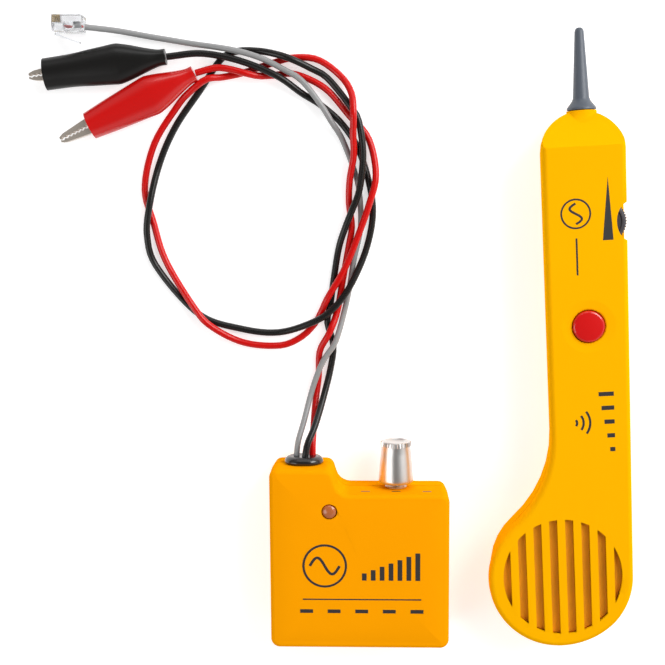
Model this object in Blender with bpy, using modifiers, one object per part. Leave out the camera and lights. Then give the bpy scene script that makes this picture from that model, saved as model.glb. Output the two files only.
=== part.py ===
"""Tone probe kit: a tone generator with its test leads and line cord, and a separate amplifier probe.

Both tools lie flat on a table at z = 0 with their front faces up (+Z). Sizes are in millimetres
and every helper turns them into metres. Each tool and each clip hangs from its own empty.
"""
import math

import bmesh
import bpy
from mathutils import Matrix, Vector

MM = 0.001
GAP = 0.3          # clearance between pieces that meet
WALL = 2.2         # moulded wall of both cases

# Where each assembly stands on the table: x, y and turn about Z in degrees
GENERATOR_AT = (-38.05, -86.6, 0.0)
PROBE_AT = (45.4, -95.8, 2.85)
RED_CLIP_AT = (-104.4, 109.6, 4.9, 205.3)
BLACK_CLIP_AT = (-116.0, 116.3, 4.9, 187.4)
PLUG_AT = (-149.1, 128.5, 4.85, 180.0)

# Tone generator case
GEN_HALF_WIDTH = 36.4
GEN_HALF_HEIGHT = 37.2     # at the lead block
GEN_SHOULDER = 27.2        # height of the lower right-hand part of the end face
GEN_DEPTH = 28.0
GEN_PARTING = 12.0
GEN_CORNER = 3.4
STEP_OUT = (-14.0, 33.4, 3.8)     # convex arc of the step: centre x, y and radius
STEP_IN = (-3.8, 33.0, 5.8)       # concave arc of the step
SWITCH_X = 15.0
CASE_MID_Z = 14.0
LED_AT = (-12.0, 20.4)
LED_RADIUS = 2.9
GROMMET_X = -22.85
GEN_SCREWS = ((-31.0, -31.8), (31.0, -31.8), (-31.0, 31.8), (31.0, 21.6))

# Amplifier probe case
HEAD_RADIUS = 29.0
HANDLE_WIDTH = 31.2
HANDLE_X = HEAD_RADIUS - HANDLE_WIDTH / 2
NOSE_Y = 172.4             # centre of the round nose
TIP_X = HANDLE_X + 0.8     # axis of the tip, its boss and the antenna
FILLET_RADIUS = 48.0       # inside bend between handle and head
PROBE_DEPTH = 25.0
PROBE_PARTING = 12.5
GRILLE_AT = (-1.0, 2.0)
GRILLE_RADIUS = 23.2
GRILLE_PITCH = 6.4
SLOT_WIDTH = 3.25
BUTTON_AT = (12.4, 103.6)
BUTTON_RADIUS = 6.3
WHEEL_AT = (20.9, 144.1)
WHEEL_RADIUS = 8.5
NOTCH_HALF = 7.6           # half length of the wheel's cut-out in the case edge
NOTCH_DEPTH = 5.3
PROBE_SCREWS = ((-17.0, -17.6), (17.0, -17.6), (2.2, 112.0), (24.6, 160.0))

# Nine-volt battery and its door
BATTERY = (47.8, 25.6, 17.0)
DOOR_THICK = 1.8

# Leads
LEAD_RADIUS = 1.4
LINE_RADIUS = 1.2
LEAD_STEP = 7.0            # spacing of the tube's rings along a lead

# Test clip: boot sections as distance from the neck, half height and half thickness
BOOT_SECTIONS = ((0, 3.2, 3.2), (4, 3.9, 3.6), (8, 5.4, 4.1), (12, 6.9, 4.5), (16, 7.6, 4.7),
                 (20, 7.9, 4.8), (25, 7.8, 4.8), (31, 7.3, 4.7), (38, 6.7, 4.6))
BOOT_WALL = 1.0
JAW_LENGTH = 18.0          # pivot to tip
JAW_HALF = 1.9             # half of a jaw's width
TOOTH = 1.8                # pitch of the jaw teeth

# Line plug, six positions wide
PLUG_LENGTH = 12.0
PLUG_HIGH = 6.6
PLUG_HALF_WIDTH = 4.8
CONTACT_PITCH = 1.02

# Route of each cable over the table, from the grommet to its far end
BLACK_ROUTE = (
    (-60.4, -47.4, 16.0), (-59.4, -41.4, 15.4), (-56.4, -34.4, 12.0), (-53.2, -23.9, 5.5),
    (-50.0, -10.9, 1.6), (-49.0, -1.4, 1.5), (-51.4, 7.6, 1.5), (-50.0, 15.6, 1.5), (-48.6, 25.6, 1.5),
    (-46.4, 38.6, 1.6), (-43.6, 47.1, 3.8), (-40.8, 54.1, 4.8), (-37.8, 62.1, 4.8), (-36.2, 76.1, 4.8),
    (-37.7, 89.1, 4.8), (-40.6, 95.0, 4.3), (-50.3, 107.2, 1.5), (-57.3, 111.4, 2.2),
    (-64.8, 114.8, 4.8), (-71.3, 117.0, 4.2), (-78.8, 118.6, 1.6), (-87.3, 118.6, 1.5),
    (-94.0, 115.4, 1.5), (-102.8, 103.1, 1.5), (-113.2, 88.6, 1.5), (-120.2, 73.6, 1.6),
    (-124.2, 56.6, 4.7), (-125.8, 43.6, 3.4), (-122.2, 30.6, 1.5), (-105.3, 11.2, 1.5),
    (-87.8, 5.0, 1.5), (-71.8, 3.4, 1.6), (-57.2, 8.0, 4.6), (-49.0, 13.4, 5.1), (-41.7, 23.0, 4.5),
    (-34.6, 39.6, 1.6), (-32.4, 56.6, 1.5), (-37.2, 76.6, 1.5), (-44.2, 88.4, 1.5), (-53.2, 96.6, 1.5),
    (-61.2, 101.6, 1.8), (-70.8, 108.2, 4.6), (-85.8, 114.4, 4.8), (-101.3, 117.5, 4.7),
    (-115.55, 116.35, 4.9),
)
RED_ROUTE = (
    (-57.5, -47.4, 12.0), (-57.4, -40.9, 11.6), (-56.7, -27.9, 4.6), (-55.2, -14.9, 1.5),
    (-54.6, -4.4, 2.6), (-50.4, 3.6, 4.7), (-47.2, 12.4, 2.2), (-44.7, 26.1, 1.5), (-42.2, 39.6, 1.5),
    (-41.0, 47.6, 1.5), (-42.1, 57.1, 1.5), (-41.7, 66.6, 3.4), (-40.0, 76.1, 5.0), (-40.2, 84.6, 6.0),
    (-40.0, 92.9, 8.1), (-40.8, 101.1, 5.4), (-45.2, 108.2, 1.9), (-54.3, 114.8, 1.5),
    (-64.3, 115.8, 1.5), (-73.3, 113.6, 1.5), (-84.8, 110.0, 1.5), (-93.3, 108.2, 2.6),
    (-99.8, 107.2, 4.9), (-107.2, 102.0, 3.4), (-112.4, 96.6, 1.7), (-122.2, 81.6, 1.5),
    (-126.6, 63.6, 1.5), (-123.4, 49.6, 1.5), (-118.4, 33.1, 1.6), (-106.3, 13.6, 4.6),
    (-99.4, 6.0, 4.2), (-86.8, -0.8, 1.5), (-71.8, -2.2, 1.5), (-63.0, 1.0, 1.5), (-57.0, 6.6, 1.5),
    (-53.9, 12.0, 2.4), (-51.0, 18.2, 4.7), (-44.2, 29.6, 4.6), (-38.3, 43.8, 4.4), (-33.6, 57.1, 4.9),
    (-31.0, 68.6, 4.0), (-34.0, 83.1, 1.5), (-41.8, 92.4, 1.5), (-51.6, 103.4, 1.5),
    (-63.8, 109.2, 1.5), (-72.8, 108.8, 1.5), (-78.3, 108.5, 2.9), (-83.4, 109.4, 4.8),
    (-89.3, 111.0, 4.8), (-95.8, 111.8, 4.6), (-104.0, 109.75, 4.9),
)
LINE_ROUTE = (
    (-64.1, -47.4, 13.0), (-63.4, -40.9, 12.4), (-61.1, -32.9, 9.0), (-58.4, -22.4, 5.0),
    (-55.6, -13.9, 4.6), (-52.3, -6.9, 4.4), (-48.0, -0.4, 4.3), (-44.4, 11.6, 1.4), (-42.0, 22.6, 1.3),
    (-40.2, 33.6, 1.3), (-37.4, 46.6, 1.3), (-37.6, 58.6, 1.3), (-39.2, 68.1, 1.3), (-44.6, 82.6, 1.4),
    (-49.0, 89.8, 3.9), (-53.2, 96.6, 4.6), (-61.0, 106.4, 4.4), (-68.8, 111.2, 4.5),
    (-77.8, 115.6, 4.6), (-89.3, 118.9, 4.5), (-106.8, 122.0, 1.3), (-122.8, 124.8, 1.3),
    (-136.3, 127.2, 2.4), (-148.7, 128.5, 4.85),
)


def clear_scene():
    """Remove what a new file holds, so the script always starts from an empty scene."""
    for obj in list(bpy.data.objects):
        bpy.data.objects.remove(obj, do_unlink=True)


def new_collection(name):
    """Link a collection under the scene."""
    collection = bpy.data.collections.new(name)
    bpy.context.scene.collection.children.link(collection)
    return collection


clear_scene()
PARTS = new_collection("tone_probe_kit")
CUTTERS = new_collection("cutters")


def material(name, colour, roughness=0.4, metallic=0.0):
    """A plain Principled material."""
    mat = bpy.data.materials.new(name)
    mat.use_nodes = True
    shader = mat.node_tree.nodes["Principled BSDF"]
    shader.inputs["Base Color"].default_value = (*colour, 1.0)
    shader.inputs["Roughness"].default_value = roughness
    shader.inputs["Metallic"].default_value = metallic
    return mat


def empty(name, at, turn=0.0):
    """An assembly's own origin: at in millimetres, turn in degrees about Z."""
    obj = bpy.data.objects.new(name, None)
    obj.location = Vector(at) * MM
    obj.rotation_euler = (0.0, 0.0, math.radians(turn))
    PARTS.objects.link(obj)
    return obj


def add_object(name, mesh, mat, parent, at=(0, 0, 0), turn=(0, 0, 0)):
    """Place a mesh as a named part; with no material it is a cutter."""
    obj = bpy.data.objects.new(name, mesh)
    obj.parent = parent
    obj.location = Vector(at) * MM
    obj.rotation_euler = [math.radians(angle) for angle in turn]
    if mat is None:
        CUTTERS.objects.link(obj)
        obj.hide_render = True
        obj.display_type = "WIRE"
    else:
        PARTS.objects.link(obj)
        mesh.materials.append(mat)
    return obj


def mesh_from(bm, name, smooth_angle=35.0):
    """Write a bmesh out as a mesh in metres with its faces pointing out."""
    bmesh.ops.recalc_face_normals(bm, faces=bm.faces)
    bmesh.ops.scale(bm, vec=(MM, MM, MM), verts=bm.verts)
    mesh = bpy.data.meshes.new(name)
    bm.to_mesh(mesh)
    bm.free()
    mesh.shade_smooth()
    mesh.set_sharp_from_angle(angle=math.radians(smooth_angle))
    return mesh


def box(name, low, high, mat, parent, bevel=0.0, at=(0, 0, 0), turn=(0, 0, 0)):
    """A block between two corners, with rounded edges if bevel is given."""
    bm = bmesh.new()
    bmesh.ops.create_cube(bm, size=1.0)
    size = [high[i] - low[i] for i in range(3)]
    middle = [(high[i] + low[i]) / 2 for i in range(3)]
    bmesh.ops.scale(bm, vec=size, verts=bm.verts)
    bmesh.ops.translate(bm, vec=middle, verts=bm.verts)
    obj = add_object(name, mesh_from(bm, name), mat, parent, at, turn)
    if bevel:
        rounding = obj.modifiers.new("rounded edges", "BEVEL")
        rounding.width = bevel * MM
        rounding.segments = 2
    return obj


def rod(name, radius, start, end, mat, parent, sides=24, end_radius=None, at=(0, 0, 0), turn=(0, 0, 0)):
    """A cylinder or cone between two points."""
    start = Vector(start)
    end = Vector(end)
    along = end - start
    bm = bmesh.new()
    last = radius if end_radius is None else end_radius
    bmesh.ops.create_cone(bm, cap_ends=True, segments=sides, radius1=radius, radius2=last,
                          depth=along.length)
    swing = Vector((0, 0, 1)).rotation_difference(along).to_matrix().to_4x4()
    bmesh.ops.transform(bm, matrix=Matrix.Translation((start + end) / 2) @ swing, verts=bm.verts)
    return add_object(name, mesh_from(bm, name), mat, parent, at, turn)


def turned(name, profile, mat, parent, steps=24, at=(0, 0, 0), turn=(0, 0, 0)):
    """A solid of revolution about Z from (radius, height) pairs, top to bottom."""
    mesh = bpy.data.meshes.new(name)
    points = [(radius * MM, 0.0, height * MM) for radius, height in profile]
    mesh.from_pydata(points, [(i, i + 1) for i in range(len(points) - 1)], [])
    obj = add_object(name, mesh, mat, parent, at, turn)
    screw = obj.modifiers.new("turned", "SCREW")
    screw.steps = steps
    screw.render_steps = steps
    screw.use_merge_vertices = True
    screw.merge_threshold = 0.00001
    screw.use_smooth_shade = False
    return obj


def loft(name, outline, profile, mat, parent, at=(0, 0, 0), turn=(0, 0, 0)):
    """A moulded body: the outline at each (inset, height) of the profile, bridged from bottom to top."""
    bm = bmesh.new()
    previous = None
    first = None
    for inset, height in profile:
        verts = [bm.verts.new((x, y, height)) for x, y in outline(inset)]
        edges = [bm.edges.new((verts[i - 1], verts[i])) for i in range(len(verts))]
        if previous is None:
            first = verts
        else:
            bmesh.ops.bridge_loops(bm, edges=previous + edges)
        previous = edges
    bm.faces.new(first)
    bm.faces.new(verts)
    return add_object(name, mesh_from(bm, name), mat, parent, at, turn)


def plate(name, outline, low, high, mat, parent, at=(0, 0, 0), turn=(0, 0, 0)):
    """A flat outline given a thickness from low to high, through a filled 2D curve."""
    curve = bpy.data.curves.new(name, "CURVE")
    curve.dimensions = "2D"
    curve.fill_mode = "BOTH"
    curve.extrude = (high - low) / 2 * MM
    spline = curve.splines.new("POLY")
    spline.points.add(len(outline) - 1)
    for point, (x, y) in zip(spline.points, outline):
        point.co = (x * MM, y * MM, 0.0, 1.0)
    spline.use_cyclic_u = True
    mesh = mesh_of_curve(curve, name)
    for vertex in mesh.vertices:
        vertex.co.z += (high + low) / 2 * MM
    return add_object(name, mesh, mat, parent, at, turn)


def mesh_of_curve(curve, name):
    """Turn a curve into a closed mesh with its caps welded on."""
    guide = bpy.data.objects.new(name + "_guide", curve)
    CUTTERS.objects.link(guide)
    bpy.context.view_layer.update()
    graph = bpy.context.evaluated_depsgraph_get()
    mesh = bpy.data.meshes.new_from_object(guide.evaluated_get(graph))
    bm = bmesh.new()
    bm.from_mesh(mesh)
    bmesh.ops.remove_doubles(bm, verts=bm.verts, dist=0.000001)
    bmesh.ops.dissolve_limit(bm, angle_limit=0.001, verts=bm.verts, edges=bm.edges)
    bmesh.ops.recalc_face_normals(bm, faces=bm.faces)
    bm.to_mesh(mesh)
    bm.free()
    bpy.data.objects.remove(guide, do_unlink=True)
    return mesh


def wire(name, points, radius, mat, parent, at=(0, 0, 0), turn=(0, 0, 0)):
    """A round wire through the points, which are in millimetres."""
    curve = bpy.data.curves.new(name, "CURVE")
    curve.dimensions = "3D"
    curve.bevel_depth = radius * MM
    curve.bevel_resolution = 2
    curve.use_fill_caps = True
    spline = curve.splines.new("POLY")
    spline.points.add(len(points) - 1)
    for point, place in zip(spline.points, points):
        point.co = (place[0] * MM, place[1] * MM, place[2] * MM, 1.0)
    return add_object(name, mesh_of_curve(curve, name), mat, parent, at, turn)


def boolean(target, tool, operation):
    """Add a Boolean modifier to the target."""
    change = target.modifiers.new(operation.lower(), "BOOLEAN")
    change.operation = operation
    change.object = tool
    change.solver = "EXACT"


def cut(target, *tools):
    """Take each tool's shape out of the target."""
    for tool in tools:
        boolean(target, tool, "DIFFERENCE")


def join(target, *tools):
    """Weld each tool's shape onto the target."""
    for tool in tools:
        boolean(target, tool, "UNION")


def arc(centre_x, centre_y, radius, start, end, steps):
    """Points on an arc, angles in degrees."""
    angles = [math.radians(start + (end - start) * i / steps) for i in range(steps + 1)]
    return [(centre_x + radius * math.cos(a), centre_y + radius * math.sin(a)) for a in angles]


def generator_outline(inset):
    """The generator seen from the front: a lead block, an S-shaped step and a lower shoulder."""
    corner = max(GEN_CORNER - inset, 0.4)
    side = GEN_HALF_WIDTH - inset - corner
    high = GEN_HALF_HEIGHT - inset - corner
    out_x, out_y, out_radius = STEP_OUT
    in_x, in_y, in_radius = STEP_IN
    reach = math.hypot(in_x - out_x, in_y - out_y)
    lean = math.atan2(in_y - out_y, in_x - out_x) + math.acos((out_radius + in_radius) / reach)
    lean = math.degrees(lean)
    points = arc(side, -high, corner, -90, 0, 4)
    points += arc(side, GEN_SHOULDER - inset - corner, corner, 0, 90, 4)
    points += arc(in_x, in_y, in_radius + inset, 270, 180 + lean, 5)
    points += arc(out_x, out_y, out_radius - inset, lean, 90, 5)
    points += arc(-side, high, corner, 90, 180, 4)
    points += arc(-side, -high, corner, 180, 270, 4)
    return points


def probe_outline(inset, nose_y=NOSE_Y):
    """The probe seen from the front: a round head off to one side of a straight handle."""
    fillet_x = HANDLE_X - HANDLE_WIDTH / 2 - FILLET_RADIUS
    fillet_y = math.sqrt((HEAD_RADIUS + FILLET_RADIUS) ** 2 - fillet_x ** 2)
    meet = math.degrees(math.atan2(fillet_y, fillet_x))
    points = arc(HANDLE_X, nose_y, HANDLE_WIDTH / 2 - inset, 0, 180, 12)
    points += arc(fillet_x, fillet_y, FILLET_RADIUS + inset, 0, meet - 180, 6)
    points += arc(0, 0, HEAD_RADIUS - inset, meet, 360, 22)[1:]
    return points


def oval(width, height, steps=8):
    """A flat-sided oval about the origin."""
    radius = height / 2
    reach = width / 2 - radius
    return arc(reach, 0, radius, -90, 90, steps) + arc(-reach, 0, radius, 90, 270, steps)


def smooth_route(route, step, rest):
    """Even points on the smooth curve (Catmull-Rom) through a route's own points, never below rest."""
    points = [Vector(p) for p in route]
    ends = [points[0] * 2 - points[1]] + points + [points[-1] * 2 - points[-2]]
    fine = []
    for i in range(1, len(ends) - 2):
        before, here, there, after = ends[i - 1:i + 3]
        for j in range(12):
            t = j / 12
            fine.append(0.5 * (2 * here + (there - before) * t
                               + (2 * before - 5 * here + 4 * there - after) * t ** 2
                               + (3 * here - before - 3 * there + after) * t ** 3))
    fine.append(points[-1])
    length = [0.0]
    for a, b in zip(fine, fine[1:]):
        length.append(length[-1] + (b - a).length)
    count = round(length[-1] / step)
    result = []
    k = 0
    for i in range(count + 1):
        want = length[-1] * i / count
        while k < len(fine) - 2 and length[k + 1] < want:
            k += 1
        share = (want - length[k]) / max(length[k + 1] - length[k], 1e-9)
        point = fine[k].lerp(fine[k + 1], min(max(share, 0.0), 1.0))
        point.z = max(point.z, rest)
        result.append(point)
    return result


ORANGE = material("generator_orange", (1.0, 0.42, 0.0), 0.28)
YELLOW = material("probe_yellow", (1.0, 0.52, 0.0), 0.3)
BLACK_RUBBER = material("black_rubber", (0.02, 0.02, 0.02), 0.5)
RED_RUBBER = material("red_rubber", (0.7, 0.0, 0.0), 0.4)
BLACK_WIRE = material("black_wire", (0.02, 0.02, 0.02), 0.4)
RED_WIRE = material("red_wire", (0.65, 0.0, 0.0), 0.4)
GREY_CORD = material("grey_cord", (0.45, 0.45, 0.45), 0.45)
CHROME = material("chrome", (0.85, 0.85, 0.85), 0.08, 1.0)
NICKEL = material("nickel", (0.7, 0.7, 0.7), 0.25, 1.0)
STEEL = material("steel", (0.5, 0.5, 0.5), 0.3, 1.0)
GOLD = material("gold_contact", (0.9, 0.65, 0.25), 0.25, 1.0)
CLEAR = material("clear_plastic", (0.85, 0.85, 0.87), 0.1)
LENS = material("led_lens", (0.5, 0.2, 0.08), 0.3)
TIP_GREY = material("tip_grey", (0.08, 0.09, 0.11), 0.45)
WHEEL_GREY = material("wheel_grey", (0.05, 0.045, 0.055), 0.5)
BUTTON_RED = material("button_red", (0.7, 0.0, 0.0), 0.3)
BOARD_GREEN = material("board_green", (0.02, 0.2, 0.07), 0.45)
CHIP_BLACK = material("chip_black", (0.02, 0.02, 0.02), 0.5)
CAPACITOR_BLUE = material("capacitor_blue", (0.03, 0.06, 0.3), 0.35)
BATTERY_GREY = material("battery_case", (0.12, 0.12, 0.14), 0.35)
PAPER = material("speaker_cone", (0.06, 0.05, 0.05), 0.8)


def case_screws(prefix, places, parent, head_low, top):
    """Round-head case screws set into the back of a case."""
    for number, (x, y) in enumerate(places, 1):
        profile = [(0, top), (1.3, top), (1.3, head_low + 1.6), (2.5, head_low + 1.6),
                   (2.5, head_low + 0.3), (2.0, head_low), (0, head_low)]
        turned(f"{prefix}_case_screw_{number}", profile, STEEL, parent, 12, (x, y, 0))


def screw_bosses(prefix, places, parent, front, back, parting, roof):
    """Bosses for the case screws in both shells, drilled through the back."""
    for number, (x, y) in enumerate(places, 1):
        name = f"{prefix}_boss_{number}"
        join(back, rod(name + "_back", 2.9, (x, y, 1.5), (x, y, parting - 0.15), None, parent, 12))
        join(front, rod(name + "_front", 2.9, (x, y, parting + 0.15), (x, y, roof), None, parent, 12))
        hole = rod(name + "_hole", 1.6, (x, y, -1), (x, y, parting + 7), None, parent, 12)
        cut(back, hole, rod(name + "_seat", 2.8, (x, y, -1), (x, y, 2.4), None, parent, 12))
        cut(front, hole)


def battery(prefix, low, parent, along):
    """A nine-volt block with its two terminals, lying along X or Y from its low corner."""
    length, width, height = BATTERY
    case = length - 2.4
    turn = (0, 0, 0) if along == "X" else (0, 0, 90)
    at = low if along == "X" else (low[0] + width, low[1], low[2])
    block = box(f"{prefix}_battery", (0, 0, 0), (case, width, height), BATTERY_GREY, parent, 0.8, at, turn)
    for number, y in enumerate((width / 2 - 6.35, width / 2 + 6.35)):
        stud = rod(f"{prefix}_terminal_{number}", 2.8, (case - 1, y, height / 2),
                   (length, y, height / 2), None, parent, 16, None, at, turn)
        join(block, stud)
    snap = (length + GAP, 0.6, 2.4)
    box(f"{prefix}_battery_snap", snap, (length + 3.0, width - 0.6, height - 2.4), BLACK_RUBBER, parent,
        0.5, at, turn)


def sliding_door(prefix, low, high, tongue, run_out, mat, parent, shell):
    """A battery door held by side tongues in a rebate of the back shell; run_out opens its way along Y."""
    door = box(f"{prefix}_battery_door", (low[0], low[1], 0), (high[0], high[1], DOOR_THICK), mat, parent)
    join(door, box(f"{prefix}_door_tongue", (low[0] - tongue, low[1] + 1.0, 1.2),
                   (high[0] + tongue, high[1], DOOR_THICK), None, parent))
    opening = box(f"{prefix}_door_opening", (low[0] - GAP, low[1] - run_out, -1),
                  (high[0] + GAP, high[1] + GAP, 2.6), None, parent)
    rebate = box(f"{prefix}_door_rebate", (low[0] - tongue - GAP, low[1] - run_out, 0.9),
                 (high[0] + tongue + GAP, high[1] + GAP, 2.6), None, parent)
    cut(shell, opening, rebate)


def build_generator():
    """The tone generator and everything in its case."""
    base = empty("generator_origin", (GENERATOR_AT[0], GENERATOR_AT[1], 0), GENERATOR_AT[2])
    back_profile = ((2.4, 0), (1.3, 0.35), (0.7, 1.3), (0.5, 2.4), (0, GEN_PARTING - 0.15))
    front_profile = ((0, GEN_PARTING + 0.15), (0.25, 24.2), (0.6, 26.0), (1.2, 27.1), (2.0, 27.75),
                     (3.0, GEN_DEPTH))
    back = loft("generator_back_shell", generator_outline, back_profile, ORANGE, base)
    front = loft("generator_front_shell", generator_outline, front_profile, ORANGE, base)
    cut(back, loft("generator_back_cavity", generator_outline, ((2.9, 2.0), (WALL, 13.0)), None, base))
    cut(front, loft("generator_front_cavity", generator_outline, ((WALL, 11.0), (2.6, 25.8)), None, base))
    screw_bosses("generator", GEN_SCREWS, base, front, back, GEN_PARTING, 26.3)
    case_screws("generator", GEN_SCREWS, base, 0.5, 17.5)
    sliding_door("generator", (-24.8, -35.9), (24.8, -3.0), 1.6, 6.0, ORANGE, base, back)
    battery("generator", (-24.4, -32.5, 2.9), base, "X")

    box("generator_circuit_board", (-27, -2.2, 5.0), (27, 21.5, 6.6), BOARD_GREEN, base)
    for number, x in enumerate((-20, 20)):
        post = rod(f"generator_board_post_{number}", 2.0, (x, 10, 1.5), (x, 10, 4.7), None, base, 12)
        join(back, post)
    box("tone_oscillator_chip", (-6, 4, 6.9), (14, 11, 10.4), CHIP_BLACK, base)
    rod("generator_capacitor", 4.0, (22.0, 4.5, 6.9), (22.0, 4.5, 17.5), CAPACITOR_BLUE, base)

    lens = [(0, 28.7), (1.5, 28.4), (2.5, 27.6), (LED_RADIUS, 26.6), (LED_RADIUS, 21), (3.4, 21), (3.4, 19.8),
            (1.6, 19.8), (1.6, 6.9), (0, 6.9)]
    turned("status_led", lens, LENS, base, 16, (*LED_AT, 0))
    cut(front, rod("led_hole", LED_RADIUS + GAP, (*LED_AT, 24), (*LED_AT, 30), None, base))

    wall_y = GEN_SHOULDER
    box("toggle_switch_body", (SWITCH_X - 6.3, wall_y - 10.4, 10.0),
        (SWITCH_X + 6.3, wall_y - WALL - 0.5, 18.0), CHIP_BLACK, base, 0.4)
    hole = rod("switch_hole", 3.4, (SWITCH_X, wall_y - 4, CASE_MID_Z), (SWITCH_X, wall_y + 2, CASE_MID_Z),
               None, base)
    cut(back, hole)
    cut(front, hole)
    bushing = [(2.0, 0.7), (4.2, 0.7), (4.4, 0.5), (4.4, 0.2), (3.0, 0.2), (3.0, -2.3), (2.0, -2.3),
               (2.0, 0.7)]
    switch = empty("toggle_pivot", (SWITCH_X, wall_y, CASE_MID_Z))
    switch.parent = base
    upright = (-90, 0, 0)
    turned("toggle_bushing", bushing, CHROME, switch, 16, (0, 0, 0), upright)
    lever = [(0, 15.0), (1.1, 15.0), (1.1, 1.2), (1.3, 0.6), (1.5, 0), (1.3, -0.9), (0.8, -1.6), (0, -1.8)]
    turned("toggle_lever", lever, CHROME, switch, 12, (0, 0, 0), upright)
    cap = [(0, 19.6), (3.6, 19.5), (5.2, 19.0), (5.9, 18.0), (7.1, 3.4), (7.1, 2.8), (6.6, 2.2), (5.4, 1.9),
           (1.4, 1.9), (1.4, 15.4), (0, 15.4)]
    turned("toggle_cap", cap, CHROME, switch, 24, (0, 0, 0), upright)

    flat = (90, 0, 0)
    grommet_at = (GROMMET_X, GEN_HALF_HEIGHT, CASE_MID_Z)
    grommet = plate("lead_grommet", oval(15.6, 12.6), -1.7, -0.2, BLACK_RUBBER, base, grommet_at, flat)
    join(grommet, plate("grommet_neck", oval(13.2, 10.2), -0.6, 2.6, None, base, grommet_at, flat))
    gap_for_grommet = plate("grommet_hole", oval(13.8, 10.8), -1.0, 3.0, None, base, grommet_at, flat)
    cut(back, gap_for_grommet)
    cut(front, gap_for_grommet)


def probe_tip(parent):
    """Conductive plastic tip: a bell collar, a tapered cone and a stem inside the nose."""
    profile = [(0, 31.9), (0.9, 31.8), (1.5, 31.3), (1.8, 30.4), (3.2, 4.6), (4.6, 2.4), (5.75, 0.6),
               (5.75, 0), (3.2, 0), (3.2, -9), (0, -9)]
    turned("probe_tip", profile, TIP_GREY, parent, 20, (TIP_X, 188.4, PROBE_PARTING), (-90, 0, 0))


def speaker(parent):
    """Small moving-coil speaker behind the grille: cone, basket and magnet."""
    under_grille = (*GRILLE_AT, 0)
    basket = [(19.5, 21.8), (21.8, 21.8), (21.8, 20.6), (19.4, 20.2), (10.0, 14.6), (8.0, 14.6),
              (8.0, 15.6), (9.6, 15.6), (19.2, 21.4), (19.5, 21.8)]
    turned("speaker_basket", basket, STEEL, parent, 24, under_grille)
    cone = [(0, 18.4), (4.5, 17.2), (5.5, 17.0), (18.6, 21.6), (18.8, 21.2), (7.6, 15.9), (0, 15.9)]
    turned("speaker_cone", cone, PAPER, parent, 24, under_grille)
    turned("speaker_magnet", [(0, 14.2), (7.6, 14.2), (7.6, 7.4), (0, 7.4)], STEEL, parent, 24, under_grille)


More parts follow.
